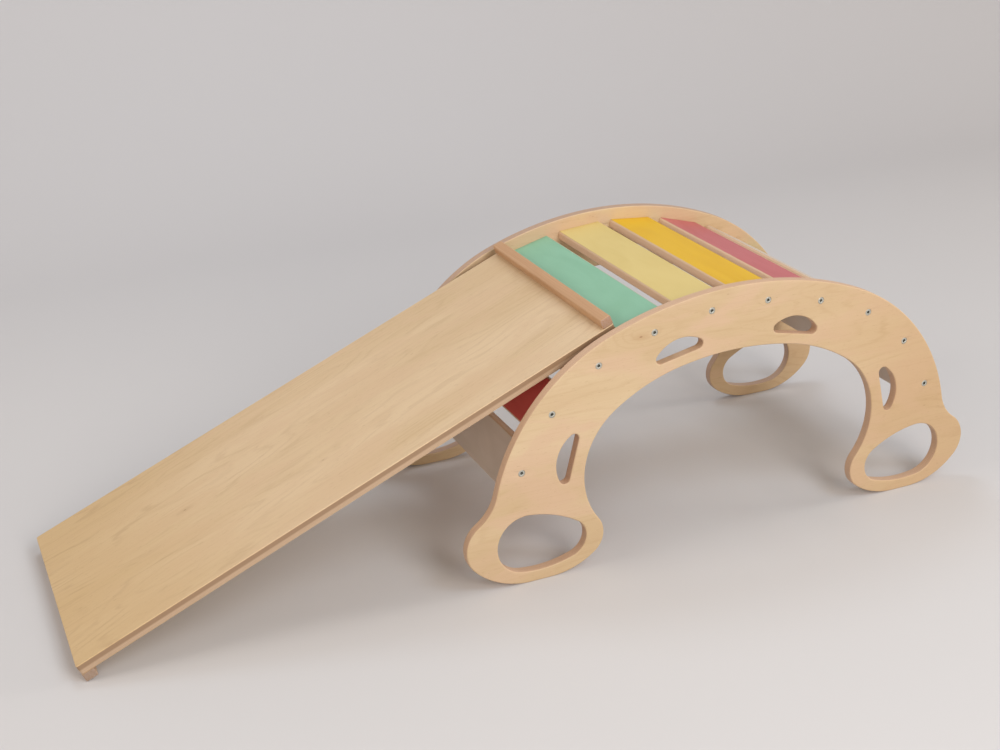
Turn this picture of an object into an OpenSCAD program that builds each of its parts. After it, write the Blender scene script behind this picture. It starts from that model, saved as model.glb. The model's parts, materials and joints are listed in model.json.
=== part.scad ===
// Wooden rocker arch: a climbing arch on four rounded feet, with a slide board hooked on.
// Two plywood side panels carry ten painted slats; the slide board lifts off.
// Millimetres. +X runs along the arch, +Y from the front panel to the rear one, +Z up.
// The origin is on the floor, under the middle of the whole object's box.

/* [Side panels] */
// Height of the arch over the floor
arch_h = 461; // [440:1:480]
// Width over both side panels
arch_w = 500; // [420:1:600]
// Thickness of the side panels
panel_t = 18; // [15:0.5:21]
// Depth of the panel at the crown
crown_band = 113; // [100:1:122]
// Radius of the crown's outer edge
crown_r = 642; // [600:2:700]
// Half angle of the crown arc
crown_half = 21.7; // [18:0.1:24]
// Radius of the shoulder's outer edge
shoulder_r = 342; // [328:1:354]
// Radius of the outer neck over a foot
neck_r = 81; // [60:1:105]

/* [Inner edge] */
// Radius of the inner edge under the crown
inner_crown_r = 523; // [490:1:560]
// Half angle of the inner crown arc
inner_crown_half = 12.3; // [10:0.1:14.5]
// Radius of the inner haunch
haunch_r = 319; // [305:1:332]
// Angle from upright where the haunch meets the inner neck
haunch_end = 35.6; // [33.5:0.1:38]
// Radius of the inner neck
inner_neck_r = 137.5; // [128:0.5:146]

/* [Feet] */
// Radius of a foot's outer side
foot_out_r = 53.5; // [49:0.5:58]
// Height of the centre of the outer side
foot_out_z = 80; // [74:1:87]
// Radius of a foot's rounded sole
sole_r = 136; // [120:1:150]
// Length of the flat that a foot stands on
sole_flat = 36; // [20:1:50]
// Radius of a foot's inner side
foot_in_r = 45; // [40:1:50]
// Height of the centre of the inner side
foot_in_z = 63; // [58:1:70]
// Wood between the sole and the foot's hole
sole_rim = 22; // [18:1:28]
// Radius of the hole's wide end
egg_big_r = 52; // [46:1:54]
// Radius of the hole's narrow end
egg_small_r = 35.5; // [30:0.5:39]
// Distance between the centres of the two ends
egg_step = 74; // [66:1:78]
// Drop of the narrow end's centre below the wide end's
egg_drop = 9.5; // [4:0.5:14]
// Radius of the long sides of the hole
egg_side_r = 195; // [160:5:300]
// Wood between the hole and the arch's end
egg_rim = 55; // [49:1:61]

/* [Hand holes] */
// Depth of a half-moon hand hole
hand_depth = 31.5; // [26:0.5:34]
// Radius of its curved side
hand_r = 62.5; // [58:0.5:68]
// Radius of its two corners
hand_corner_r = 9; // [6:0.5:11]
// Wood left between a crown hand hole and the inner edge
hand_bar = 19; // [17:0.5:22]
// Angle from upright of the crown hand holes
hand_crown_a = 11.8; // [11:0.1:12.5]
// Wood left between a leg hand hole and the inner edge
hand_leg_bar = 23.5; // [20:0.5:26]
// Direction of the leg hand holes from the centre of the inner neck
hand_leg_a = 166.3; // [162:0.1:170]

/* [Slats] */
// Width of a slat
slat_w = 87; // [78:1:89]
// Thickness of a slat
slat_t = 18; // [15:0.5:20]
// Distance from slat to slat along their arc
slat_pitch = 108.5; // [105:0.5:109.5]
// Depth of the slats' centre line below the outer edge
slat_line = 33; // [29:0.5:37]
// Radius of the slats' long edges
slat_edge_r = 4; // [2:0.5:6]

/* [Slat fixings] */
// Diameter of a screw's flat head
head_d = 12; // [10:0.5:13]
// Thickness of the head
head_t = 3; // [2.5:0.5:4]
// Width across the flats of the head's socket
socket_w = 5; // [4:0.5:6]
// Diameter of the screw's plain shank
shank_d = 7; // [6:0.5:7]
// Core diameter of the threaded part
core_d = 5; // [4:0.5:5.5]
// Whole length of a slat screw
screw_l = 60; // [50:1:70]
// Diameter of the locating dowels
dowel_d = 8; // [6:1:8]
// Length of a dowel
dowel_l = 36; // [30:1:40]
// Depth of the dowel in the side panel
dowel_in = 11; // [8:0.5:12]
// Distance of a dowel from the screw
dowel_off = 27; // [22:1:30]

/* [Slide board] */
// Length of the board
board_l = 985; // [900:5:1080]
// Thickness of the board
board_t = 18; // [15:0.5:20]
// Side clearance between the board and each side panel
board_gap = 16; // [8:0.5:24]
// Radius of the board's corners
board_corner_r = 4; // [2:0.5:8]
// Width of the cleat across the top end
cleat_w = 20; // [15:1:26]
// Height of the cleat
cleat_h = 17; // [14:0.5:20]
// Set-in of the cleat's ends from the board's sides
cleat_inset = 1; // [0:0.5:20]
// Radius of the cleat's edges
cleat_edge_r = 3; // [1.5:0.5:5]
// Thickness of the hook batten in the gap between two slats
hook_t = 15; // [12:0.5:15]
// Depth of the hook batten below the board
hook_depth = 34; // [28:1:40]
// Thickness of the batten under the foot of the board
foot_batten_t = 15; // [13:0.5:18]
// Width of that batten
foot_batten_w = 20; // [16:1:40]
// Screws across the board in each batten
board_screws = 4; // [3:1:5]
// Distance of the outer ones from the board's sides
board_screw_inset = 45; // [30:1:70]
// Diameter of their heads
wood_head_d = 8.4; // [7:0.1:9]
// Diameter of their threads
wood_screw_d = 4; // [3.5:0.5:4.5]

/* [Hidden] */
$fn = 64;
arc_fn = 288;     // segments of a full circle on the long outline arcs
lap = 5;          // overlap of shapes that are joined into one outline
nip = 0.004;      // an arc reaches this far past the wider one that it runs into
past = [3, 3];    // degrees that it runs on beyond its two ends

slat_n = 10;      // slats, which all have a module of their own below
hook_slat = 3;    // the board's hook hangs between this slat, from the left foot, and the next

// running and seating clearances
bore_gap = 0.1;   // round a shank, core or dowel, on the radius
head_gap = 0.2;   // round a screw's head, on the radius
seat_gap = 0.3;   // under the board, where it lies on the slats' rounded edges
flush = 0.2;      // screw heads lie this far below the face
tip_room = 2;     // left free past the tip of a screw
end_room = 0.5;   // left free past the end of a dowel or shank
cut = 1;          // bores run this far past the face that they open in

// slat screws
shank_in = 3;     // reach of the plain shank into the slat
socket_depth = 2.4;
tip_l = 5;
tip_d = 1.5;

// wood screws of the slide board
wood_head_h = 3.4;
wood_socket_w = 3.1;
wood_socket_depth = 2;
wood_tip_l = 4;
wood_tip_d = 1;
hook_sink = 8;    // depth of the heads in the hook batten
foot_sink = 4.5;  // depth of the heads in the foot batten
cleat_bite = 11;  // reach of the hook's screws into the cleat
deck_bite = 9.5;  // reach of the foot batten's screws into the deck

function unit(v) = v / norm(v);
function polar(r, a) = [r * cos(a), r * sin(a)];
// corner where a circle of radius ra about a meets one of radius rb about b; side = 1 or -1
function meet(a, ra, b, rb, side) =
    let (d = norm(b - a), u = (b - a) / d, k = (d * d + ra * ra - rb * rb) / (2 * d),
         h = sqrt(max(0, ra * ra - k * k)))
    a + k * u + side * h * [-u[1], u[0]];

// ---- right half of the panel's outline: centres and tangent points, x = 0 at the crown ----
// outer edge
crown_c = [0, arch_h - crown_r];
p_crown = crown_c + polar(crown_r, 90 - crown_half);
shoulder_c = p_crown - polar(shoulder_r, 90 - crown_half);
// inner edge
inner_top = arch_h - crown_band;
inner_crown_c = [0, inner_top - inner_crown_r];
p_inner = inner_crown_c + polar(inner_crown_r, 90 - inner_crown_half);
haunch_c = p_inner - polar(haunch_r, 90 - inner_crown_half);
p_haunch = haunch_c + polar(haunch_r, 90 - haunch_end);
inner_neck_c = p_haunch - polar(inner_neck_r, 90 - haunch_end);
// foot: inner side, sole and outer side
foot_in_c = [inner_neck_c[0] + sqrt(pow(inner_neck_r + foot_in_r, 2)
             - pow(inner_neck_c[1] - foot_in_z, 2)), foot_in_z];
p_foot_in = foot_in_c + foot_in_r * unit(inner_neck_c - foot_in_c);
sole_in_c = [foot_in_c[0] + sqrt(pow(sole_r - foot_in_r, 2) - pow(sole_r - foot_in_z, 2)), sole_r];
p_sole_in = sole_in_c + sole_r * unit(foot_in_c - sole_in_c);
sole_out_c = sole_in_c + [sole_flat, 0];
foot_out_c = [sole_out_c[0] + sqrt(pow(sole_r - foot_out_r, 2) - pow(sole_r - foot_out_z, 2)),
              foot_out_z];
p_sole_out = sole_out_c + sole_r * unit(foot_out_c - sole_out_c);
// outer neck
neck_c = meet(shoulder_c, shoulder_r + neck_r, foot_out_c, foot_out_r + neck_r, 1);
p_neck_up = neck_c + neck_r * unit(shoulder_c - neck_c);
p_neck_low = neck_c + neck_r * unit(foot_out_c - neck_c);
half_l = foot_out_c[0] + foot_out_r;
stand_x = sole_in_c[0] + sole_flat / 2;

// right half as a closed chord polygon, from the inner crown down to the foot and back up
half_chords = [[0, p_inner[1]], p_inner, p_haunch, p_foot_in, p_sole_in,
    [sole_in_c[0], 0], [sole_out_c[0], 0], p_sole_out, p_neck_low, p_neck_up, p_crown,
    [0, p_crown[1]]];

// ---- slats on the arc that runs slat_line inside the outer edge ----
line_crown = (crown_r - slat_line) * crown_half * PI / 180;
// position along the arc from the crown, positive to the right
function line_s(k) = (k - (slat_n + 1) / 2) * slat_pitch;
// angle from upright at that position
function line_a(s) = let (q = abs(s)) sign(s) * (q <= line_crown
    ? q / (crown_r - slat_line) * 180 / PI
    : crown_half + (q - line_crown) / (shoulder_r - slat_line) * 180 / PI);
function line_p(s) = let (q = abs(s), a = abs(line_a(s)), g = s < 0 ? -1 : 1)
    let (p = q <= line_crown ? crown_c + polar(crown_r - slat_line, 90 - a)
                             : shoulder_c + polar(shoulder_r - slat_line, 90 - a))
    [g * p[0], p[1]];
slat_l = arch_w - 2 * panel_t;

// ---- the board: it lies on slats hook_slat and hook_slat + 1, its hook in the gap between ----
// centre of the rounded top corner of slat k; side = 1 toward +X, -1 toward -X
function slat_corner(k, side) = let (s = line_s(k), a = -line_a(s),
    u = side * (slat_w / 2 - slat_edge_r), v = slat_t / 2 - slat_edge_r)
    line_p(s) + [u * cos(a) - v * sin(a), u * sin(a) + v * cos(a)];
corner_lo = slat_corner(hook_slat, 1);
corner_hi = slat_corner(hook_slat + 1, -1);
gap_mid = (corner_lo + corner_hi) / 2;
function along(p, a) = p[0] * cos(a) + p[1] * sin(a);
function above(p, a) = p[1] * cos(a) - p[0] * sin(a);
// rounded corners that the board could lie on
rests = [for (k = [1 : hook_slat], side = [-1, 1]) slat_corner(k, side), corner_hi];
// height of the board's underside over the arch's origin, square to the board
function under(a) = max([for (c = rests) above(c, a)]) + slat_edge_r + seat_gap;
// position of the board's top end along itself
function top_end(a) = along(gap_mid, a) + hook_t / 2;
// height over the floor of the foot batten's lower edge
function foot_z(a) = (top_end(a) - board_l) * sin(a) + (under(a) - foot_batten_t) * cos(a);
// slope at which that edge just meets the floor, found by halving the range from lo to hi
function slope(lo, hi, n = 40) = n == 0 ? (lo + hi) / 2 :
    let (m = (lo + hi) / 2) foot_z(m) > 0 ? slope(m, hi, n - 1) : slope(lo, m, n - 1);
flattest = 5;
steepest = 50;
board_a = slope(flattest, steepest);
board_top = top_end(board_a);
board_under = under(board_a);
board_low = board_top - board_l;
board_w = slat_l - 2 * board_gap;
// lowest and farthest corner of the board on the left
board_tip_x = board_low * cos(board_a) - (board_under + board_t) * sin(board_a);

// the origin: middle of the box over arch and board
shift_x = -(board_tip_x + half_l) / 2;

// colours
birch = [0.87, 0.75, 0.58];
birch_dark = [0.80, 0.66, 0.50];
beech = [0.80, 0.62, 0.45];
zinc = [0.75, 0.76, 0.78];
grey = [0.60, 0.55, 0.50];
red = [0.62, 0.18, 0.16];
brick = [0.60, 0.30, 0.22];
mint = [0.58, 0.77, 0.67];
pale_yellow = [0.88, 0.80, 0.53];
yellow = [0.88, 0.69, 0.22];
coral = [0.78, 0.40, 0.42];

// ---- flat shapes ----
function turned(v, a) = [v[0] * cos(a) - v[1] * sin(a), v[0] * sin(a) + v[1] * cos(a)];
// everything between the two rays from c through p and q, each turned outward by its more
module wedge(c, p, q, more) {
    g = sign(cross(p - c, q - c));
    u = c + 2 * turned(p - c, -g * more[0]);
    v = c + 2 * turned(q - c, g * more[1]);
    polygon(g > 0 ? [c, u, v] : [c, v, u]);
}
// rim of a disc between p and q: the outward bulge over a chord, with a lap below the chord
module bulge(c, r, p, q, more = [0, 0]) intersection() {
    translate(c) difference() {
        circle(r, $fn = arc_fn);
        circle(norm((p + q) / 2 - c) - lap, $fn = arc_fn);
    }
    wedge(c, p, q, more);
}
// piece of a disc between p and q: the hollow cut into a chord
module hollow(c, r, p, q, more = [0, 0]) intersection() {
    translate(c) circle(r, $fn = arc_fn);
    wedge(c, p, q, more);
}
function flip(p) = [-p[0], p[1]];

module half_outline() {
    difference() {
        union() {
            polygon(half_chords);
            bulge(shoulder_c, shoulder_r + nip, p_crown, p_neck_up, past);
            bulge(foot_out_c, foot_out_r + nip, p_neck_low, p_sole_out, past);
            bulge(sole_out_c, sole_r, p_sole_out, [sole_out_c[0], 0]);
            bulge(sole_in_c, sole_r, [sole_in_c[0], 0], p_sole_in);
            bulge(foot_in_c, foot_in_r + nip, p_sole_in, p_foot_in, past);
        }
        hollow(neck_c, neck_r + nip, p_neck_up, p_neck_low, past);
        hollow(inner_neck_c, inner_neck_r + 2 * nip, p_foot_in, p_haunch, past);
        hollow(haunch_c, haunch_r + nip, p_haunch, p_inner, [0, past[1]]);
    }
}

module egg_hole() {
    big = [half_l - egg_rim - egg_big_r, sole_rim + egg_big_r];
    small = big - [egg_step, egg_drop];
    up = meet(big, egg_side_r - egg_big_r, small, egg_side_r - egg_small_r, 1);
    low = meet(big, egg_side_r - egg_big_r, small, egg_side_r - egg_small_r, -1);
    b1 = big + egg_big_r * unit(big - up);
    s1 = small + egg_small_r * unit(small - up);
    b2 = big + egg_big_r * unit(big - low);
    s2 = small + egg_small_r * unit(small - low);
    polygon([b1, s1, s2, b2]);
    translate(big) circle(egg_big_r + nip);
    translate(small) circle(egg_small_r + nip);
    bulge(up, egg_side_r, b1, s1);
    bulge(low, egg_side_r, s2, b2);
}

// half-moon on its straight side, which runs along +X through the origin
module half_moon() {
    c = [0, hand_depth - hand_r];
    k = [sqrt(pow(hand_r - hand_corner_r, 2) - pow(hand_corner_r - c[1], 2)), hand_corner_r];
    q = c + hand_r * unit(k - c);
    polygon([[-k[0], 0], [k[0], 0], q, flip(q)]);
    for (m = [k, flip(k)]) translate(m) circle(hand_corner_r + nip);
    intersection() {
        hollow(c, hand_r, q, flip(q));
        translate([-hand_r, 0]) square([2 * hand_r, hand_r]);
    }
}

module half_holes() {
    egg_hole();
    translate(inner_crown_c + polar(inner_crown_r + hand_bar, 90 - hand_crown_a))
        rotate(-hand_crown_a) half_moon();
    translate(inner_neck_c + polar(inner_neck_r + hand_leg_bar, 180 - hand_leg_a))
        rotate(90 - hand_leg_a) half_moon();
}

module panel_outline() {
    difference() {
        union() {
            half_outline();
            mirror([1, 0]) half_outline();
            bulge(crown_c, crown_r, p_crown, flip(p_crown));
        }
        hollow(inner_crown_c, inner_crown_r, p_inner, flip(p_inner));
        half_holes();
        mirror([1, 0]) half_holes();
    }
}

// lays a shape drawn in X and Z between y0 and y1
module slab(y0, y1) translate([shift_x, y1, 0]) rotate([90, 0, 0])
    linear_extrude(y1 - y0) children();

// puts children on slat k: origin at the screw's axis, x along the slat's width,
// y through its thickness, z along its length from the front panel's inner face
module at_slat(k) {
    s = line_s(k);
    p = line_p(s);
    translate([shift_x + p[0], -slat_l / 2, p[1]]) rotate([0, line_a(s), 0])
        rotate([-90, 0, 0]) mirror([0, 1, 0]) children();
}

// bores of one slat end; z = 0 at the joint face, the slat lies on the +z side
module panel_bores() {
    translate([0, 0, -panel_t - cut])
        cylinder(d = head_d + 2 * head_gap, h = head_t + flush + cut);
    translate([0, 0, -panel_t]) cylinder(d = shank_d + 2 * bore_gap, h = panel_t + cut);
    for (x = [-dowel_off, dowel_off]) translate([x, 0, -dowel_in - end_room])
        cylinder(d = dowel_d + 2 * bore_gap, h = dowel_in + end_room + cut);
}
module slat_bores() {
    translate([0, 0, -cut]) cylinder(d = shank_d + 2 * bore_gap, h = shank_in + end_room + cut);
    translate([0, 0, -cut])
        cylinder(d = core_d + 2 * bore_gap, h = screw_l - panel_t + flush + tip_room + cut);
    for (x = [-dowel_off, dowel_off]) translate([x, 0, -cut])
        cylinder(d = dowel_d + 2 * bore_gap, h = dowel_l - dowel_in + end_room + cut);
}
module slat_screw() {
    top = -panel_t + flush;
    tip = top + screw_l;
    difference() {
        union() {
            translate([0, 0, top]) cylinder(d = head_d, h = head_t);
            translate([0, 0, top + head_t]) cylinder(d = shank_d, h = shank_in - top - head_t);
            translate([0, 0, shank_in]) cylinder(d = core_d, h = tip - tip_l - shank_in);
            translate([0, 0, tip - tip_l]) cylinder(d1 = core_d, d2 = tip_d, h = tip_l);
        }
        translate([0, 0, top - cut])
            cylinder(d = socket_w / cos(30), h = socket_depth + cut, $fn = 6);
    }
}
module slat_dowels() {
    for (x = [-dowel_off, dowel_off]) translate([x, 0, -dowel_in])
        cylinder(d = dowel_d, h = dowel_l);
}
// carries what is drawn for the front end to the rear end as well
module both_ends() {
    children();
    rear_end() children();
}
module rear_end() mirror([0, 1, 0]) children();

module side_panel(y0, y1) {
    color(birch) difference() {
        slab(y0, y1) panel_outline();
        for (k = [1 : slat_n]) {
            if (y0 < 0) at_slat(k) panel_bores();
            else rear_end() at_slat(k) panel_bores();
        }
    }
}
module side_panel_front() side_panel(-arch_w / 2, -arch_w / 2 + panel_t);
module side_panel_rear() side_panel(arch_w / 2 - panel_t, arch_w / 2);

// section with its four corners rounded
module round_bar(w, t, r) {
    square([w - 2 * r, t], center = true);
    square([w, t - 2 * r], center = true);
    for (x = [-1, 1], y = [-1, 1])
        translate([x * (w / 2 - r), y * (t / 2 - r)]) circle(r, $fn = 32);
}
module slat(k) {
    difference() {
        at_slat(k) linear_extrude(slat_l) round_bar(slat_w, slat_t, slat_edge_r);
        both_ends() at_slat(k) slat_bores();
    }
}
module slat_1_grey() color(grey) slat(1);
module slat_2_red() color(red) slat(2);
module slat_3_brick() color(brick) slat(3);
module slat_4_mint() color(mint) slat(4);
module slat_5_pale_yellow() color(pale_yellow) slat(5);
module slat_6_yellow() color(yellow) slat(6);
module slat_7_coral() color(coral) slat(7);
module slat_8_grey() color(grey) slat(8);
module slat_9_mint() color(mint) slat(9);
module slat_10_grey() color(grey) slat(10);

module slat_screws_front() color(zinc) for (k = [1 : slat_n]) at_slat(k) slat_screw();
module slat_screws_rear() color(zinc) rear_end() for (k = [1 : slat_n]) at_slat(k) slat_screw();
module dowels_front() color(beech) for (k = [1 : slat_n]) at_slat(k) slat_dowels();
module dowels_rear() color(beech) rear_end() for (k = [1 : slat_n]) at_slat(k) slat_dowels();

// ---- slide board ----
// board frame: x up the slope, y to the rear, z square to the board; x = 0 at the board's
// top end, z = 0 on its underside
module on_board() translate([shift_x, 0, 0]) rotate([0, -board_a, 0])
    translate([board_top, 0, board_under]) children();
// screw places across the board
function screw_y(i) = (i / (board_screws - 1) - 0.5) * (board_w - 2 * board_screw_inset);
hook_x = -hook_t / 2;
foot_x = -board_l + foot_batten_w / 2;

// wood screw, tip up: the head's seat is at z = 0 and l is the length beyond it
module wood_screw(l) {
    translate([0, 0, -wood_head_h]) difference() {
        cylinder(d = wood_head_d, h = wood_head_h);
        translate([0, 0, -cut])
            cylinder(d = wood_socket_w / cos(30), h = wood_socket_depth + cut, $fn = 6);
    }
    cylinder(d = wood_screw_d, h = l - wood_tip_l);
    translate([0, 0, l - wood_tip_l]) cylinder(d1 = wood_screw_d, d2 = wood_tip_d, h = wood_tip_l);
}
module wood_screw_bore(l) {
    translate([0, 0, -hook_depth]) cylinder(d = wood_head_d + 2 * head_gap, h = hook_depth);
    translate([0, 0, -cut]) cylinder(d = wood_screw_d + 2 * bore_gap, h = l + tip_room + cut);
}
// head seats in the two battens, and the screws' lengths beyond them
hook_seat = -hook_depth + hook_sink;
foot_seat = -foot_batten_t + foot_sink;
hook_screw_l = -hook_seat + board_t + cleat_bite;
foot_screw_l = -foot_seat + deck_bite;

module board_bores() {
    for (i = [0 : board_screws - 1]) {
        translate([hook_x, screw_y(i), hook_seat]) wood_screw_bore(hook_screw_l);
        translate([foot_x, screw_y(i), foot_seat]) wood_screw_bore(foot_screw_l);
    }
}
module board_deck() {
    color(birch) on_board() difference() {
        translate([-board_l / 2, 0, 0]) linear_extrude(board_t)
            round_bar(board_l, board_w, board_corner_r);
        board_bores();
    }
}
module board_top_cleat() {
    color(birch_dark) on_board() difference() {
        translate([-cleat_w / 2, board_w / 2 - cleat_inset, board_t + cleat_h / 2])
            rotate([90, 0, 0]) linear_extrude(board_w - 2 * cleat_inset)
                round_bar(cleat_w, cleat_h, cleat_edge_r);
        board_bores();
    }
}
module board_hook_batten() {
    color(birch_dark) on_board() difference() {
        translate([-hook_t, -board_w / 2 + cleat_inset, -hook_depth])
            cube([hook_t, board_w - 2 * cleat_inset, hook_depth]);
        board_bores();
    }
}
module board_foot_batten() {
    color(birch_dark) on_board() difference() {
        translate([-board_l, -board_w / 2, -foot_batten_t])
            cube([foot_batten_w, board_w, foot_batten_t]);
        board_bores();
    }
}
module board_hook_screws() {
    color(zinc) on_board() for (i = [0 : board_screws - 1])
        translate([hook_x, screw_y(i), hook_seat]) wood_screw(hook_screw_l);
}
module board_foot_screws() {
    color(zinc) on_board() for (i = [0 : board_screws - 1])
        translate([foot_x, screw_y(i), foot_seat]) wood_screw(foot_screw_l);
}

side_panel_front();
side_panel_rear();
slat_1_grey();
slat_2_red();
slat_3_brick();
slat_4_mint();
slat_5_pale_yellow();
slat_6_yellow();
slat_7_coral();
slat_8_grey();
slat_9_mint();
slat_10_grey();
slat_screws_front();
slat_screws_rear();
dowels_front();
dowels_rear();
board_deck();
board_top_cleat();
board_hook_batten();
board_foot_batten();
board_hook_screws();
board_foot_screws();
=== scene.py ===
"""Looks of the wooden rocker arch and its slide board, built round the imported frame.

Metres, in the frame's own axes: +X along the arch, +Y from the front panel to the rear one.
A visible wooden piece is made again from its node's own outline and bores, so it keeps the
node's size and place and gains eased edges. Each piece's object carries the grain: its local
X runs along the fibres, Y across them and Z through the thickness, from the middle of the piece.
"""

import json
import math
import random

import bmesh
import bpy
from mathutils import Euler, Matrix, Vector
from mathutils.geometry import tessellate_polygon


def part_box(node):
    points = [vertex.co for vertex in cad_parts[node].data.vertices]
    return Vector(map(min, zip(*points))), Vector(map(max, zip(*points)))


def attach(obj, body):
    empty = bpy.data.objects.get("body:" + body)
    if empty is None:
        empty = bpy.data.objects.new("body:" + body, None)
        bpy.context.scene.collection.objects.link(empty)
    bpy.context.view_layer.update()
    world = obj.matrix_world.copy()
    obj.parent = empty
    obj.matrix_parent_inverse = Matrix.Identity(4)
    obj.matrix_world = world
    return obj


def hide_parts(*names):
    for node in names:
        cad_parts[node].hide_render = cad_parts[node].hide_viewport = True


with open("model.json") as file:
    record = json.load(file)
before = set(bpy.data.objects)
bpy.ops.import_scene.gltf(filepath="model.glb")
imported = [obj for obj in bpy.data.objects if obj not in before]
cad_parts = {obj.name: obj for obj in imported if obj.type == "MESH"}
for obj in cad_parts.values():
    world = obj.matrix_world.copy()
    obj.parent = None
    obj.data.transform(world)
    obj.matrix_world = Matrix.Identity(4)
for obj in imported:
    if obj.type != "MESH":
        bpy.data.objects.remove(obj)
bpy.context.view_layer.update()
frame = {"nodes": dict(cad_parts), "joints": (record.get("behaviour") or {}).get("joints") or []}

MM = 0.001
WELD = 0.004 * MM        # points closer than this are one point
RIM_SIZE = 20 * MM       # a wider loop on a flat face is an outline or a hole, a smaller one a bore
SHARP = math.radians(40)  # edges that turn more than this stay crisp
TINY_AREA = 1e-14        # square metres; a triangle with less than half of it is left out

# radii of the eased edges
PANEL_EASE = 2.4 * MM
SLAT_END_EASE = 0.4 * MM
BOARD_EASE = 1.4 * MM
BATTEN_EASE = 1.5 * MM
CLEAT_END_EASE = 1.2 * MM
LEAST_CORNER = 1 * MM    # least radius of an outline's own sharp corners
EASE_STEPS = 5

LONG_STEP = 3 * MM       # longest step left in an arc of an outline
STRAIGHT = 2.5           # a step this many times longer than both its neighbours is straight
LEAST_MITRE = 0.5        # keeps an offset from running away at a narrow corner

PLY = 1.38 * MM          # one layer of the plywood

X_AXIS, Y_AXIS = Vector((1, 0, 0)), Vector((0, 1, 0))
BOARD_NORMAL = Vector(frame["joints"][0]["axis"]).normalized()
BOARD_SLOPE = Y_AXIS.cross(BOARD_NORMAL)


# ---------------------------------------------------------------- colours and nodes

def srgb(red, green, blue):
    """A colour as a picture shows it, 0 to 255, turned into the linear colour of a shader."""
    def linear(value):
        value /= 255
        return value / 12.92 if value <= 0.04045 else ((value + 0.055) / 1.055) ** 2.4
    return (linear(red), linear(green), linear(blue), 1.0)


MIX_A, MIX_B, MIX_COLOUR = 6, 7, 2    # the colour sockets of a mix node


class Nodes:
    """One material's node tree, with short names for the steps that the finishes share."""

    def __init__(self, name):
        self.material = bpy.data.materials.new(name)
        self.material.use_nodes = True
        self.tree = self.material.node_tree
        self.tree.nodes.clear()
        self.shader = self.add("ShaderNodeBsdfPrincipled")
        output = self.add("ShaderNodeOutputMaterial")
        self.tree.links.new(self.shader.outputs["BSDF"], output.inputs["Surface"])
        self.place = self.add("ShaderNodeTexCoord").outputs["Object"]

    def add(self, kind, **settings):
        node = self.tree.nodes.new(kind)
        for key, value in settings.items():
            setattr(node, key, value)
        return node

    def put(self, socket, value):
        """Feeds a socket from another one, or sets its own value."""
        if isinstance(value, bpy.types.NodeSocket):
            self.tree.links.new(value, socket)
        else:
            socket.default_value = value

    def math(self, operation, a, b=0.0):
        node = self.add("ShaderNodeMath", operation=operation)
        self.put(node.inputs[0], a)
        self.put(node.inputs[1], b)
        return node.outputs[0]

    def plus(self, a, b):
        return self.math("ADD", a, b)

    def minus(self, a, b):
        return self.math("SUBTRACT", a, b)

    def times(self, a, b):
        return self.math("MULTIPLY", a, b)

    def parts(self, vector):
        """The three components of a vector."""
        node = self.add("ShaderNodeSeparateXYZ")
        self.put(node.inputs[0], vector)
        return node.outputs

    def noise(self, look, shift=(0, 0, 0)):
        """One of the noises listed below, moved by shift."""
        waves, detail, roughness, distortion = look
        stretched = self.add("ShaderNodeVectorMath", operation="MULTIPLY_ADD")
        self.put(stretched.inputs[0], self.place)
        stretched.inputs[1].default_value = waves
        stretched.inputs[2].default_value = shift
        node = self.add("ShaderNodeTexNoise")
        self.put(node.inputs["Vector"], stretched.outputs[0])
        node.inputs["Scale"].default_value = 1.0
        node.inputs["Detail"].default_value = detail
        node.inputs["Roughness"].default_value = roughness
        node.inputs["Distortion"].default_value = distortion
        return node.outputs["Fac"]

    def between(self, value, low, high):
        """0 below low, 1 above high and smooth between them; low may be the larger one."""
        node = self.add("ShaderNodeMapRange", interpolation_type="SMOOTHSTEP")
        self.put(node.inputs["Value"], value)
        swap = low > high
        node.inputs["From Min"].default_value = high if swap else low
        node.inputs["From Max"].default_value = low if swap else high
        node.inputs["To Min"].default_value = 1.0 if swap else 0.0
        node.inputs["To Max"].default_value = 0.0 if swap else 1.0
        return node.outputs["Result"]

    def mix(self, share, a, b):
        node = self.add("ShaderNodeMix", data_type="RGBA")
        self.put(node.inputs["Factor"], share)
        self.put(node.inputs[MIX_A], a)
        self.put(node.inputs[MIX_B], b)
        return node.outputs[MIX_COLOUR]

    def over(self, colour, cover, strength, laid):
        """A colour with another laid over it where cover is 1, at some strength."""
        return self.mix(self.times(cover, strength), colour, laid)

    def finish(self, colour, rough):
        self.put(self.shader.inputs["Base Color"], colour)
        self.put(self.shader.inputs["Roughness"], rough)
        return self.material

    def bump(self, height, distance, strength):
        node = self.add("ShaderNodeBump")
        self.put(node.inputs["Height"], height)
        node.inputs["Distance"].default_value = distance
        node.inputs["Strength"].default_value = strength
        self.tree.links.new(node.outputs["Normal"], self.shader.inputs["Normal"])


# ---------------------------------------------------------------- finishes

# birch faces; strokes and contours are strengths of the line's colour, and a painted shade
# colour, for the light falling off towards one end, comes on along the grain between the two
# places given with it
VENEER = dict(light=srgb(212, 188, 152), dark=srgb(201, 174, 136), warm=srgb(209, 177, 148),
              line=srgb(180, 144, 106), fleck=srgb(150, 108, 74), strokes=0.12, contours=0.34,
              shaded_end=srgb(194, 160, 118), shade_from=0.0, shade_to=0.45)
DECK_VENEER = dict(VENEER, light=srgb(224, 198, 162), dark=srgb(214, 186, 146),
                   warm=srgb(218, 188, 152), shaded_end=srgb(204, 172, 119), strokes=0.20,
                   contours=0.40, shade_from=-0.05, shade_to=-0.50)

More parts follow.
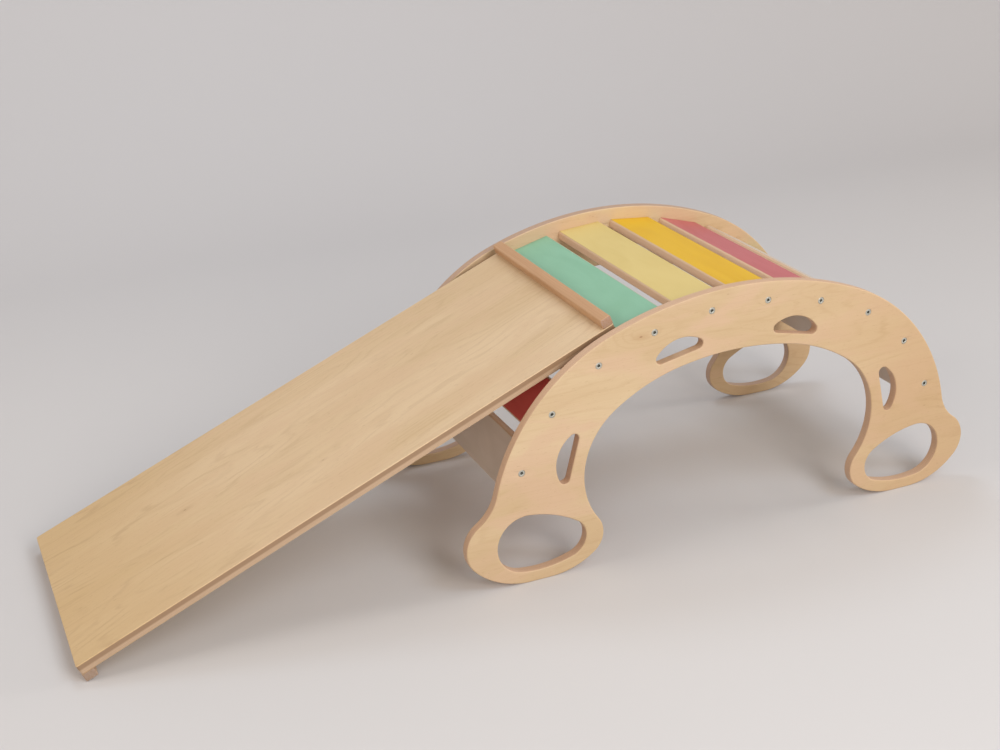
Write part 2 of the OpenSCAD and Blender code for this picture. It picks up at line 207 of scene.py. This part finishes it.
# edges of the plywood: two layers and their glue line; upper is a darker upper half
PLY_EDGE = dict(light=srgb(224, 190, 160), dark=srgb(204, 168, 138), glue=srgb(164, 128, 100))
# painted shade: a darker copy of the plywood edge for the rear panel, whose edges lie in shade
SHADED_REAR_EDGE = dict(light=srgb(204, 172, 148), dark=srgb(184, 152, 128), glue=srgb(148, 118, 96))
SLAT_EDGE = dict(light=srgb(236, 208, 180), dark=srgb(220, 190, 160), glue=srgb(182, 150, 122))
DECK_EDGE = dict(light=srgb(202, 174, 146), dark=srgb(184, 156, 128), glue=srgb(144, 116, 90),
                 upper=srgb(152, 122, 94))

PAINTS = {
    "grey": dict(colour=srgb(212, 196, 182), shade=srgb(204, 188, 173), gloss=0.06),
    "red": dict(colour=srgb(212, 92, 86), shade=srgb(203, 85, 80), gloss=0.06),
    "brick": dict(colour=srgb(160, 74, 62), shade=srgb(150, 68, 57), gloss=0.06),
    "mint": dict(colour=srgb(144, 196, 168), shade=srgb(138, 190, 161), gloss=0.06),
    "pale_yellow": dict(colour=srgb(224, 202, 132), shade=srgb(219, 196, 125), gloss=0.06),
    "yellow": dict(colour=srgb(230, 184, 24), shade=srgb(225, 177, 18), gloss=0.06),
    "coral": dict(colour=srgb(196, 100, 104), shade=srgb(189, 91, 95), gloss=0.10),
}

BEECH = dict(light=srgb(204, 162, 122), dark=srgb(194, 150, 110), line=srgb(170, 124, 86),
             end=srgb(182, 154, 138))
# painted shade: a darker, greyer copy of the beech for the foot batten, which stands in the board's
# shadow
SHADED_BEECH = dict(light=srgb(186, 156, 130), dark=srgb(172, 142, 116), line=srgb(146, 116, 92),
                  end=srgb(166, 144, 128))

ZINC = dict(bright=srgb(208, 208, 200), dull=srgb(176, 177, 169), rough=0.42)
# painted shade: a darker, duller copy of the zinc for the faces inside the sockets, for the shade
# deep in the recess
SHADED_SOCKET = dict(bright=srgb(124, 126, 120), dull=srgb(92, 95, 91), rough=0.55)

# noises: waves a metre along the grain, across it and through the piece, then the noise's
# detail, roughness and distortion
ZONES = ((1.3, 9, 9), 3, 0.5, 0.4)
MOTTLE = ((6, 17, 17), 3, 0.55, 0.8)
RELIEF = ((1.6, 6.5, 6.5), 2, 0.4, 0.3)
RAGGED = ((14, 90, 90), 3, 0.6, 0.0)
STROKES = ((9, 310, 310), 2, 0.55, 0.0)
FIBRES = ((14, 620, 620), 3, 0.6, 0.0)
DASHES = ((90, 1500, 1500), 1, 0.4, 0.0)
EDGE_MOTTLE = ((16, 16, 520), 3, 0.6, 0.0)
EDGE_SPECKS = ((850, 850, 900), 2, 0.6, 0.0)
COAT_END = ((60, 60, 900), 3, 0.6, 0.0)
STREAKS = ((3, 70, 70), 4, 0.6, 0.2)
YEAR_WARP = ((3, 22, 22), 2, 0.5, 0.0)
RAYS = ((320, 1900, 1900), 1, 0.4, 0.0)
PORES = ((1200, 1200, 1200), 2, 0.5, 0.0)
PLATING = ((260, 260, 260), 3, 0.6, 0.0)
SCRATCHES = ((4000, 600, 900), 2, 0.6, 0.0)
PAPER_CLOUDS = ((0.6, 0.6, 0.6), 2, 0.5, 0.0)

# year rings of a veneer
RELIEF_RINGS = 22.0      # over the whole height of its relief
KNOT_RINGS = 3.0         # that a figured knot pulls round itself
FIGURED = 0.5            # least strength of a figured knot

# knots; reaches are in radii of the knot
KNOT_LENGTH = 2.5        # length along the grain over the width
KNOT_RAGGED = 0.8
KNOT_HILL = 14
HALO_REACH = 5.0
CORE_OUTSIDE, CORE_INSIDE = 1.1, 0.5
HALO_STRENGTH = 0.4
CORE_STRENGTH = 1.6

LAYER_START = 100.5      # half a layer, so that one is centred in the sheet, and no negative
COAT_WANDER = 0.5 * MM   # how far the coat's end wanders on the eased edge
PAINT_SPECULAR = 0.30
YEAR_LINES = 1500.0      # phase of the year lines in beech, a metre across the grain
YEAR_WANDER = 40.0       # how far that phase wanders


def knot_distance(nodes, place, ragged, x, y, size):
    """Distance from a knot's middle, drawn out along the grain and ragged."""
    along = nodes.times(nodes.minus(place[0], x), 1 / KNOT_LENGTH)
    across = nodes.minus(place[1], y)
    squares = nodes.plus(nodes.times(along, along), nodes.times(across, across))
    return nodes.plus(nodes.math("SQRT", squares), nodes.times(ragged, size * KNOT_RAGGED))


def veneer(nodes, look, seed, knots):
    """Rotary-cut birch: broad zones and a mottle of warm and pale wood, a painted shade that
    darkens it towards one end where the light falls off, faint ragged contours of the year rings,
    short dark lines along the grain.
    A knot is x, y, its radius and its strength."""
    shift = (seed * 1.7, seed * 3.1, seed * 0.9)
    place = nodes.parts(nodes.place)
    zones = nodes.noise(ZONES, shift)
    mottle = nodes.noise(MOTTLE, shift)
    ragged = nodes.noise(RAGGED, shift)
    fibres = nodes.noise(FIBRES, shift)
    line = look["line"]

    colour = nodes.mix(nodes.between(zones, 0.36, 0.66), look["light"], look["dark"])
    colour = nodes.over(colour, nodes.between(mottle, 0.42, 0.66), 0.7, look["warm"])
    # painted shade: the wood darkens along the grain towards one end, where the light falls off,
    # and the year contours below grow stronger there too
    shaded_end = nodes.between(place[0], look["shade_from"], look["shade_to"])
    colour = nodes.over(colour, shaded_end, 0.6, look["shaded_end"])

    height = nodes.plus(nodes.times(nodes.noise(RELIEF, shift), RELIEF_RINGS), ragged)
    spots = []
    for x, y, size, strength in knots:
        distance = knot_distance(nodes, place, ragged, x, y, size)
        spots.append((distance, size, strength))
        if strength >= FIGURED:
            hill = nodes.between(distance, size * KNOT_HILL, 0.0)
            height = nodes.plus(height, nodes.times(hill, KNOT_RINGS))
    rings = nodes.between(nodes.math("PINGPONG", height, 0.5), 0.24, 0.0)
    rings = nodes.times(rings, nodes.between(mottle, 0.60, 0.38))
    rings = nodes.times(rings, nodes.plus(0.5, nodes.times(shaded_end, 0.5)))
    colour = nodes.over(colour, rings, look["contours"], line)

    strokes = nodes.between(nodes.noise(STROKES, shift), 0.56, 0.70)
    strokes = nodes.times(strokes, nodes.between(zones, 0.30, 0.60))
    colour = nodes.over(colour, strokes, look["strokes"], line)
    colour = nodes.over(colour, nodes.between(fibres, 0.45, 0.75), 0.14, line)
    dashes = nodes.between(nodes.noise(DASHES, shift), 0.70, 0.78)
    colour = nodes.over(colour, dashes, 0.5, look["fleck"])

    for distance, size, strength in spots:
        halo = nodes.between(distance, size * HALO_REACH, size)
        core = nodes.between(distance, size * CORE_OUTSIDE, size * CORE_INSIDE)
        colour = nodes.over(colour, halo, HALO_STRENGTH * strength, line)
        colour = nodes.over(colour, core, min(1.0, strength * CORE_STRENGTH), look["fleck"])
    return colour, fibres, mottle


def ply_layers(nodes, look, seed):
    """The edge of the plywood: bands of long and end grain with thin glue lines between."""
    z = nodes.parts(nodes.place)[2]
    layer = nodes.plus(nodes.math("DIVIDE", z, PLY), LAYER_START)
    cross = nodes.math("MODULO", nodes.math("FLOOR", layer), 2.0)
    from_middle = nodes.math("ABSOLUTE", nodes.minus(nodes.math("FRACT", layer), 0.5))
    shift = (seed, seed * 2.3, seed * 4.1)
    mottle = nodes.noise(EDGE_MOTTLE, shift)
    specks = nodes.noise(EDGE_SPECKS, shift)
    colour = nodes.mix(cross, look["light"], look["dark"])
    colour = nodes.over(colour, nodes.between(mottle, 0.35, 0.7), 0.5, look["dark"])
    colour = nodes.over(colour, nodes.between(specks, 0.55, 0.8), 0.35, look["glue"])
    colour = nodes.over(colour, nodes.between(from_middle, 0.40, 0.48), 0.5, look["glue"])
    if "upper" in look:
        upper = nodes.between(z, -0.6 * PLY, 0.4 * PLY)
        colour = nodes.over(colour, upper, 0.9, look["upper"])
    return colour, specks


def plywood(name, thickness, seed, edge, face=VENEER, knots=(), paint=None):
    """Birch plywood through and through: veneer to one layer's depth, layers below it, and
    where paint is given a coat on both faces that stops at the eased edge."""
    nodes = Nodes(name)
    place = nodes.parts(nodes.place)
    depth = nodes.minus(thickness / 2, nodes.math("ABSOLUTE", place[2]))
    wood, fibres, mottle = veneer(nodes, face, seed, knots)
    layers, specks = ply_layers(nodes, edge, seed)
    inside = nodes.between(depth, PLY * 0.75, PLY * 0.95)
    colour = nodes.mix(inside, wood, layers)
    rough = nodes.plus(0.40, nodes.times(fibres, 0.16))
    height = nodes.plus(fibres, nodes.times(specks, inside))
    if paint:
        wander = nodes.times(nodes.noise(COAT_END, (seed, seed, seed)), COAT_WANDER)
        coat = nodes.between(nodes.minus(depth, wander), 0.22 * MM, 0.12 * MM)
        tone = nodes.mix(nodes.between(mottle, 0.35, 0.7), paint["colour"], paint["shade"])
        tone = nodes.over(tone, nodes.between(fibres, 0.5, 0.8), 0.25, paint["shade"])
        colour = nodes.mix(coat, colour, tone)
        rough = nodes.minus(rough, nodes.times(coat, paint["gloss"]))
        height = nodes.times(height, nodes.minus(1.0, nodes.times(coat, 0.5)))
        nodes.shader.inputs["Specular IOR Level"].default_value = PAINT_SPECULAR
    nodes.bump(height, 0.12 * MM, 0.5)
    return nodes.finish(colour, rough)


def solid_wood(name, look, seed):
    """Steamed beech: fine year lines, short ray flecks, and darker end grain."""
    nodes = Nodes(name)
    shift = (seed * 1.3, seed * 2.9, seed * 0.7)
    streaks = nodes.noise(STREAKS, shift)
    rays = nodes.noise(RAYS, shift)
    across = nodes.times(nodes.parts(nodes.place)[1], YEAR_LINES)
    phase = nodes.plus(across, nodes.times(nodes.noise(YEAR_WARP, shift), YEAR_WANDER))
    normal = nodes.parts(nodes.add("ShaderNodeTexCoord").outputs["Normal"])
    end = nodes.between(nodes.math("ABSOLUTE", normal[0]), 0.6, 0.95)
    colour = nodes.mix(nodes.between(streaks, 0.35, 0.68), look["light"], look["dark"])
    year_lines = nodes.between(nodes.math("SINE", phase), 0.2, 1.0)
    colour = nodes.over(colour, year_lines, 0.18, look["line"])
    colour = nodes.over(colour, nodes.between(rays, 0.66, 0.74), 0.45, look["line"])
    pores = nodes.between(nodes.noise(PORES, shift), 0.42, 0.7)
    colour = nodes.mix(end, colour, nodes.mix(pores, look["end"], look["line"]))
    nodes.bump(nodes.plus(rays, streaks), 0.1 * MM, 0.4)
    return nodes.finish(colour, nodes.plus(0.42, nodes.times(streaks, 0.12)))


def zinc(name, look):
    """Zinc-plated steel: cloudy plating with fine scratches."""
    nodes = Nodes(name)
    scratches = nodes.noise(SCRATCHES)
    cloudy = nodes.between(nodes.noise(PLATING), 0.35, 0.7)
    nodes.shader.inputs["Metallic"].default_value = 1.0
    nodes.bump(scratches, 0.02 * MM, 0.3)
    return nodes.finish(nodes.mix(cloudy, look["bright"], look["dull"]),
                        nodes.plus(look["rough"], nodes.times(scratches, 0.22)))


# ---------------------------------------------------------------- mesh tools

def axes(origin, x_axis, z_axis):
    """Frame with its origin and the directions of its X and Z."""
    y_axis = z_axis.cross(x_axis)
    made = Matrix((x_axis, y_axis, z_axis)).transposed().to_4x4()
    made.translation = origin
    return made


def span(node, turn):
    """Lowest and highest corner of a node's box in the turned frame."""
    back = turn.inverted()
    points = [back @ v.co for v in frame["nodes"][node].data.vertices]
    return (Vector([min(p[i] for p in points) for i in range(3)]),
            Vector([max(p[i] for p in points) for i in range(3)]))


def middle(node, turn):
    """Middle of a node's box in the turned frame, as a point of the row frame."""
    low, high = span(node, turn)
    return turn @ ((low + high) / 2)


def border_loops(faces):
    """Closed loops of vertices round a set of flat faces, with the faces on their left."""
    inside, following = set(faces), {}
    for face in faces:
        for corner in face.loops:
            if sum(other in inside for other in corner.edge.link_faces) == 1:
                following[corner.vert] = corner.link_loop_next.vert
    loops = []
    while following:
        start = next(iter(following))
        loop, vert = [start], following.pop(start)
        while vert is not start:
            loop.append(vert)
            vert = following.pop(vert)
        loops.append(loop)
    return loops


def turn_at(path, i):
    """Angle by which a closed path turns at point i."""
    before, after = path[i] - path[i - 1], path[(i + 1) % len(path)] - path[i]
    return abs(before.angle_signed(after, 0.0))


def softened(path, radius):
    """Closed path with each sharp corner cut and replaced by a small arc."""
    made = []
    for i, point in enumerate(path):
        before, after = path[i - 1], path[(i + 1) % len(path)]
        if turn_at(path, i) < SHARP:
            made.append(point)
            continue
        a = point + (before - point).normalized() * radius
        b = point + (after - point).normalized() * radius
        for k in range(EASE_STEPS + 1):
            t = k / EASE_STEPS
            made.append(a * (1 - t) ** 2 + point * 2 * t * (1 - t) + b * t ** 2)
    return made


def refined(path, longest):
    """Closed path with a point added in the middle of each long step of an arc, on the curve
    through the four points round it."""
    made, count = [], len(path)
    for i, b in enumerate(path):
        a, c, d = path[i - 1], path[(i + 1) % count], path[(i + 2) % count]
        made.append(b)
        step = (c - b).length
        near = max((b - a).length, (d - c).length)
        if longest < step < STRAIGHT * near:
            made.append((b + c) * 9 / 16 - (a + d) / 16)
    return made


def inward(path):
    """Offset of one unit into the material, on the left, at each point of a closed path."""
    offsets = []
    for i, point in enumerate(path):
        before = (point - path[i - 1]).normalized()
        after = (path[(i + 1) % len(path)] - point).normalized()
        left = Vector((-before.y - after.y, before.x + after.x)).normalized()
        offsets.append(left / max(LEAST_MITRE, left.dot(Vector((-before.y, before.x)))))
    return offsets


def eased_wall(bm, path, low, high, radius):
    """Wall from low to high round a closed path, with both its edges rounded.
    Returns the loops of vertices where it meets the lower and the upper flat."""
    turns = [math.pi / 2 * k / EASE_STEPS for k in range(EASE_STEPS + 1)]
    profile = [(radius * (1 - math.sin(t)), radius * (1 - math.cos(t))) for t in turns]
    profile = ([(inset, low + rise) for inset, rise in profile]
               + [(inset, high - rise) for inset, rise in reversed(profile)])
    offsets = inward(path)
    rings = [[bm.verts.new((*(p + n * inset), z)) for p, n in zip(path, offsets)]
             for inset, z in profile]
    count = len(path)
    for lower, upper in zip(rings, rings[1:]):
        for i in range(count):
            j = (i + 1) % count
            bm.faces.new((lower[i], lower[j], upper[j], upper[i]))
    return rings[0], rings[-1]


def fill_flat(bm, loops, facing):
    """Flat face with holes: the first loop is its outline. facing is 1 for up, -1 for down."""
    verts = [v for loop in loops for v in loop]
    for triangle in tessellate_polygon([[v.co for v in loop] for loop in loops]):
        a, b, c = (verts[i] for i in triangle)
        area = (b.co - a.co).cross(c.co - a.co).z
        if abs(area) > TINY_AREA:
            bm.faces.new((a, b, c) if area * facing > 0 else (a, c, b))


def crisp(obj):
    """Smooth shading over the rounds, crisp at real corners, and flat over the flats."""
    obj.data.shade_smooth()
    obj.data.set_sharp_from_angle(angle=SHARP)
    weighted = obj.modifiers.new("flat_faces", "WEIGHTED_NORMAL")
    weighted.keep_sharp = True


def placed(name, bm, place, material, body, slot, *nodes):
    """Makes a piece of a mesh given in the row frame; place is the frame of its grain."""
    bm.transform(place.inverted())
    bm.normal_update()
    mesh = bpy.data.meshes.new(name)
    bm.to_mesh(mesh)
    bm.free()
    mesh.materials.append(material)
    piece = bpy.data.objects.new(name, mesh)
    bpy.context.scene.collection.objects.link(piece)
    piece.matrix_world = place
    crisp(piece)
    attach(piece, body)
    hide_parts(*nodes)
    return piece


def flat_faces(bm):
    """Lowest and highest level of a mesh, and the flat faces that lie on each."""
    levels = min(v.co.z for v in bm.verts), max(v.co.z for v in bm.verts)
    return levels, [[f for f in bm.faces if all(abs(v.co.z - level) < WELD for v in f.verts)]
                    for level in levels]


def node_mesh(node, push):
    """A node's mesh in the frame that it is pushed along, its coinciding points made one."""
    bm = bmesh.new()
    bm.from_mesh(frame["nodes"][node].data)
    bm.transform(push.inverted())
    bmesh.ops.remove_doubles(bm, verts=bm.verts, dist=WELD)
    return bm


def size_of(loop):
    """Larger side of a loop's box."""
    return max(max(v.co[i] for v in loop) - min(v.co[i] for v in loop) for i in range(2))


def rebuilt(node, push, ease, keep_bores=True):
    """A node that is one outline pushed along push's Z, made again with eased edges.
    Its bores stay as they are. Returns the mesh in the row frame."""
    bm = node_mesh(node, push)
    (low, high), flats = flat_faces(bm)
    loops = [border_loops(faces) for faces in flats]
    rims = [[loop for loop in level if size_of(loop) > RIM_SIZE] for level in loops]
    bores = [[loop for loop in level if size_of(loop) <= RIM_SIZE] for level in loops]
    paths = [[v.co.xy.copy() for v in loop] for loop in sorted(rims[1], key=size_of, reverse=True)]
    if keep_bores:
        rim_verts = {v for level in rims for loop in level for v in loop}
        flat = set(flats[0] + flats[1])
        gone = [f for f in bm.faces if f in flat or all(v in rim_verts for v in f.verts)]
        bmesh.ops.delete(bm, geom=gone, context="FACES")
    else:
        bm.clear()
        bores = [[], []]
    low_loops, high_loops = [], []
    for path in paths:
        path = refined(softened(path, max(ease, LEAST_CORNER)), LONG_STEP)
        lower, upper = eased_wall(bm, path, low, high, ease)
        low_loops.append(lower)
        high_loops.append(upper)
    fill_flat(bm, low_loops + bores[0], -1)
    fill_flat(bm, high_loops + bores[1], 1)
    bm.transform(push)
    return bm


def bore_places(node, push, level):
    """Middles of the bores in a node's lower or upper flat face, as points of the row frame."""
    bm = node_mesh(node, push)
    found = []
    for loop in border_loops(flat_faces(bm)[1][level]):
        if size_of(loop) <= RIM_SIZE:
            found.append(push @ (sum((v.co for v in loop), Vector()) / len(loop)))
    bm.free()
    return sorted(found, key=lambda p: p.x)


# ---------------------------------------------------------------- side panels

ALONG_Y = axes(Vector(), X_AXIS, Y_AXIS)
PANEL_KNOTS = [(-0.186, -0.173, 2.2 * MM, 1.0), (-0.025, -0.219, 2.0 * MM, 0.25),
               (0.405, 0.069, 2.5 * MM, 0.2)]


def side_panel(side, seed, edge):
    node = f"side_panel_{side}"
    low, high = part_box(node)
    grain = axes((low + high) / 2, X_AXIS, Y_AXIS)
    finish = plywood(f"birch_panel_{side}", high.y - low.y, seed, edge=edge, knots=PANEL_KNOTS)
    placed(f"panel_{side}", rebuilt(node, ALONG_Y, PANEL_EASE), grain, finish,
           "arch", "panel_birch", node)


# ---------------------------------------------------------------- slats

def slat_grain(node):
    """Frame of a slat's grain, along the slat, across its width and out of its top, and the
    slat's thickness."""
    bm = node_mesh(node, ALONG_Y)
    outline = max(border_loops(flat_faces(bm)[1][1]), key=size_of)
    steps = [b.co - a.co for a, b in zip(outline, outline[1:] + outline[:1])]
    width = (ALONG_Y.to_3x3() @ max(steps, key=lambda step: step.length)).normalized()
    bm.free()
    out = Y_AXIS.cross(width)
    out = out if out.z > 0 else -out
    turn = axes(Vector(), Y_AXIS, out)
    low, high = span(node, turn)
    return axes(middle(node, turn), Y_AXIS, out), high.z - low.z


def slat(node, seed):
    colour = node.split("_", 2)[2]
    grain, thickness = slat_grain(node)
    finish = plywood(f"painted_{node}", thickness, seed, edge=SLAT_EDGE, paint=PAINTS[colour])
    placed(node.replace("slat_", "slat_piece_"), rebuilt(node, ALONG_Y, SLAT_END_EASE), grain,
           finish, "arch", f"paint_{colour}", node)


# ---------------------------------------------------------------- screws

HEAD_R = 6.0 * MM
HEAD_H = 3.0 * MM
SOCKET_R = 2.5 * MM      # to its flats
SOCKET_DEPTH = 2.4 * MM
SOCKET_BEVEL = 0.35 * MM
SHANK_R = 3.5 * MM
SHANK_SHARE = 0.35       # of the length, without thread
CORE_R = 2.5 * MM
TIP_R = 0.75 * MM
TIP_LENGTH = 5.0 * MM
FLUSH = 0.2 * MM         # how far the heads lie below the panel's face
RING_STEPS = 48
SIXTH = math.pi / 3      # a sixth of a turn


def ring(bm, radius, z, hexagonal, spin):
    """Ring of vertices, round or drawn onto a hexagon by the share hexagonal."""
    made = []
    for i in range(RING_STEPS):
        a = 2 * math.pi * i / RING_STEPS
        sector = (a % SIXTH) - SIXTH / 2
        r = radius * (1 - hexagonal + hexagonal / math.cos(sector))
        made.append(bm.verts.new((r * math.cos(a + spin), r * math.sin(a + spin), z)))
    return made


def screw(bm, place, length, spin):
    """Flat-headed screw with a hexagonal socket; place's Z points out of its head."""
    shank_end = -length * SHANK_SHARE
    # radius, height and share of the hexagon, from the middle of the socket to the tip
    socket = [(SOCKET_R * 0.55, -SOCKET_DEPTH - SOCKET_BEVEL, 0), (SOCKET_R, -SOCKET_DEPTH, 1)]
    profile = socket + [
        (SOCKET_R, -SOCKET_BEVEL, 1), (SOCKET_R + 0.45 * MM, -0.02 * MM, 0.6),
        (SOCKET_R + 0.9 * MM, 0, 0), (HEAD_R - 0.9 * MM, -0.03 * MM, 0),
        (HEAD_R - 0.3 * MM, -0.14 * MM, 0), (HEAD_R, -0.5 * MM, 0), (HEAD_R, -HEAD_H, 0),
        (SHANK_R, -HEAD_H, 0), (SHANK_R, shank_end, 0), (CORE_R, shank_end, 0),
        (CORE_R, -length + TIP_LENGTH, 0), (TIP_R, -length, 0)]
    rings = [ring(bm, r, z, share, spin) for r, z, share in profile]
    # faces of the socket take the second finish, the zinc with painted shade
    for step, (inner, outer) in enumerate(zip(rings, rings[1:])):
        for i in range(RING_STEPS):
            j = (i + 1) % RING_STEPS
            face = bm.faces.new((inner[i], outer[i], outer[j], inner[j]))
            face.material_index = 1 if step < len(socket) else 0
    bm.faces.new(rings[0]).material_index = 1
    bm.faces.new(list(reversed(rings[-1])))
    bmesh.ops.transform(bm, matrix=place, verts=[v for r in rings for v in r])


def slat_screws(side, level, outward, finish, shaded_socket_finish):
    """The ten screws of one side panel, in the bores of its lower or upper flat face."""
    node = f"slat_screws_{side}"
    low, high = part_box(node)
    turns = random.Random(side)
    bm = bmesh.new()
    for centre in bore_places(f"side_panel_{side}", ALONG_Y, level):
        place = axes(centre - outward * FLUSH, X_AXIS, outward)
        screw(bm, place, high.y - low.y, turns.uniform(0, SIXTH))
    piece = placed(f"screws_{side}", bm, Matrix.Identity(4), finish, "arch", "zinc_steel", node)
    piece.data.materials.append(shaded_socket_finish)


# ---------------------------------------------------------------- slide board

def board_piece(name, node, ease, finish, slot, along=BOARD_SLOPE, push=None, bores=True):
    """A piece of the board; along is the direction of its grain."""
    turn = axes(Vector(), along, BOARD_NORMAL)
    grain = axes(middle(node, turn), along, BOARD_NORMAL)
    push = push or axes(Vector(), BOARD_SLOPE, BOARD_NORMAL)
    placed(name, rebuilt(node, push, ease, bores), grain, finish, "board", slot, node)


def deck_thickness():
    low, high = span("board_deck", axes(Vector(), BOARD_SLOPE, BOARD_NORMAL))
    return high.z - low.z


DECK_KNOTS = [(-0.013, -0.088, 1.3 * MM, 0.49), (-0.245, 0.016, 2.4 * MM, 0.70),
              (-0.324, -0.038, 3.0 * MM, 0.12), (-0.403, -0.110, 3.0 * MM, 0.12)]


# ---------------------------------------------------------------- the object

# each finish has a seed of its own, so that no two show the same figure
SLAT_SEED, SEED_STEP = 11.0, 2.7

side_panel("front", 3.0, PLY_EDGE)
side_panel("rear", 8.0, SHADED_REAR_EDGE)
slat_nodes = sorted((n for n in frame["nodes"] if n.startswith("slat_") and "screws" not in n),
                    key=lambda n: int(n.split("_")[1]))
for number, node in enumerate(slat_nodes):
    slat(node, SLAT_SEED + SEED_STEP * number)

plating = zinc("zinc_plate", ZINC)
# the sockets' zinc is darkened as painted shade
shaded_socket_plating = zinc("zinc_socket_shaded", SHADED_SOCKET)
slat_screws("front", 0, -Y_AXIS, plating, shaded_socket_plating)
slat_screws("rear", 1, Y_AXIS, plating, shaded_socket_plating)

deck_finish = plywood("birch_deck", deck_thickness(), 41.0, face=DECK_VENEER, edge=DECK_EDGE,
                      knots=DECK_KNOTS)
beech = solid_wood("beech_bar", BEECH, 5.0)
shaded_beech = solid_wood("shaded_beech", SHADED_BEECH, 6.0)
board_piece("deck", "board_deck", BOARD_EASE, deck_finish, "board_birch")
board_piece("cleat", "board_top_cleat", CLEAT_END_EASE, beech, "batten_beech",
            along=Y_AXIS, push=ALONG_Y, bores=False)
board_piece("hook_batten", "board_hook_batten", BATTEN_EASE, beech, "batten_beech", along=Y_AXIS)
# the foot batten takes the beech with painted shade
board_piece("foot_batten", "board_foot_batten", BATTEN_EASE, shaded_beech, "batten_beech",
            along=Y_AXIS)

# the pieces inside the wood keep the frame's own shapes
dowel_wood = solid_wood("dowel_wood", BEECH, 9.0)
for node, finish in (("dowels_front", dowel_wood), ("dowels_rear", dowel_wood),
                     ("board_hook_screws", plating), ("board_foot_screws", plating)):
    mesh = frame["nodes"][node].data
    mesh.materials.clear()
    mesh.materials.append(finish)


# ---------------------------------------------------------------- studio

# the sheet's front end, wall and top along Y and Z, the radius of its bend, and half its width
SHEET_FRONT, SHEET_BACK, SHEET_TOP = -5.0, 3.2, 5.5
SHEET_BEND = 1.6
SHEET_HALF = 7.0
BEND_STEPS = 24
PAPER, PAPER_LIGHT, PAPER_WALL = srgb(206, 205, 207), srgb(211, 210, 212), srgb(207, 207, 211)
WALL_FROM, WALL_TO = 0.6, 2.6    # where the wall's tone comes on, along Y
BACKDROP = srgb(200, 197, 197)   # seen past the sheet's edges from the other sides

LIGHT_AIM = (-0.1, 0.0, 0.1)
COOL = (0.82, 0.94, 1.05)
WARM = (1.0, 0.94, 0.87)
SKY_STRENGTH, SKY_COLOUR = 0.44, (1.0, 0.89, 0.79)

# each light's place, the width of its disc, its power and its colour
LIGHTS = {
    "key": ((1.35, -2.3, 3.2), 1.5, 30, COOL),
    "top": ((0.0, 1.2, 3.0), 1.1, 14, COOL),
    "front": ((0.5, -3.8, 2.0), 2.0, 76, WARM),
    "front_left": ((-1.85, -3.2, 1.9), 1.6, 14, WARM),
    "left": ((-3.3, 0.0, 2.3), 1.5, 30, WARM),
    "right": ((5.2, -0.9, 1.4), 1.8, 76, WARM),
}

CAMERA_PLACE = (-1.25338, -2.14954, 1.28259)   # from the middle of the arch, on the floor
CAMERA_TURN = (66.551, 1.257, -23.871)
CAMERA_LENS = 52.378
CAMERA_SENSOR = 36
CAMERA_REACH = 50


def studio_sheet():
    """Pale sheet that lies as the floor and curves up into the wall behind."""
    profile = [(SHEET_FRONT, 0.0), (SHEET_BACK - SHEET_BEND, 0.0)]
    for k in range(1, BEND_STEPS + 1):
        a = math.pi / 2 * k / BEND_STEPS
        profile.append((SHEET_BACK - SHEET_BEND + SHEET_BEND * math.sin(a),
                        SHEET_BEND * (1 - math.cos(a))))
    profile.append((SHEET_BACK, SHEET_TOP))
    bm = bmesh.new()
    rows = [[bm.verts.new((x, y, z)) for x in (-SHEET_HALF, SHEET_HALF)] for y, z in profile]
    for a, b in zip(rows, rows[1:]):
        bm.faces.new((a[0], a[1], b[1], b[0]))
    mesh = bpy.data.meshes.new("studio_sheet")
    bm.to_mesh(mesh)
    bm.free()
    mesh.shade_smooth()
    sheet = bpy.data.objects.new("studio_sheet", mesh)
    bpy.context.scene.collection.objects.link(sheet)
    nodes = Nodes("studio_paper")
    colour = nodes.mix(nodes.noise(PAPER_CLOUDS), PAPER, PAPER_LIGHT)
    raised = nodes.between(nodes.parts(nodes.place)[1], WALL_FROM, WALL_TO)
    mesh.materials.append(nodes.finish(nodes.mix(raised, colour, PAPER_WALL), 0.9))


def softbox(name, place, size, power, colour):
    """Round area light that faces the object."""
    data = bpy.data.lights.new(name, "AREA")
    data.shape = "DISK"
    data.size = size
    data.energy = power
    data.color = colour
    lamp = bpy.data.objects.new(name, data)
    lamp.location = place
    lamp.rotation_euler = (Vector(LIGHT_AIM) - Vector(place)).to_track_quat("-Z", "Y").to_euler()
    bpy.context.scene.collection.objects.link(lamp)


def sky():
    """Even light from all round; the camera sees a pale backdrop in its place."""
    world = bpy.data.worlds.new("studio_air")
    world.use_nodes = True
    tree = world.node_tree
    light = tree.nodes["Background"]
    light.inputs["Color"].default_value = (*SKY_COLOUR, 1)
    light.inputs["Strength"].default_value = SKY_STRENGTH
    backdrop = tree.nodes.new("ShaderNodeBackground")
    backdrop.inputs["Color"].default_value = BACKDROP
    ray = tree.nodes.new("ShaderNodeLightPath")
    choice = tree.nodes.new("ShaderNodeMixShader")
    tree.links.new(ray.outputs["Is Camera Ray"], choice.inputs[0])
    tree.links.new(light.outputs[0], choice.inputs[1])
    tree.links.new(backdrop.outputs[0], choice.inputs[2])
    tree.links.new(choice.outputs[0], tree.nodes["World Output"].inputs["Surface"])
    bpy.context.scene.world = world


def camera():
    data = bpy.data.cameras.new("view")
    data.sensor_width = CAMERA_SENSOR
    data.lens = CAMERA_LENS
    data.clip_end = CAMERA_REACH
    made = bpy.data.objects.new("view", data)
    low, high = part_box("side_panel_front")
    made.location = Vector(CAMERA_PLACE) + X_AXIS * (low.x + high.x) / 2
    made.rotation_euler = Euler([math.radians(a) for a in CAMERA_TURN])
    bpy.context.scene.collection.objects.link(made)
    bpy.context.scene.camera = made


studio_sheet()
for name, light in LIGHTS.items():
    softbox(name, *light)
sky()
camera()
bpy.context.scene.view_settings.view_transform = "Standard"
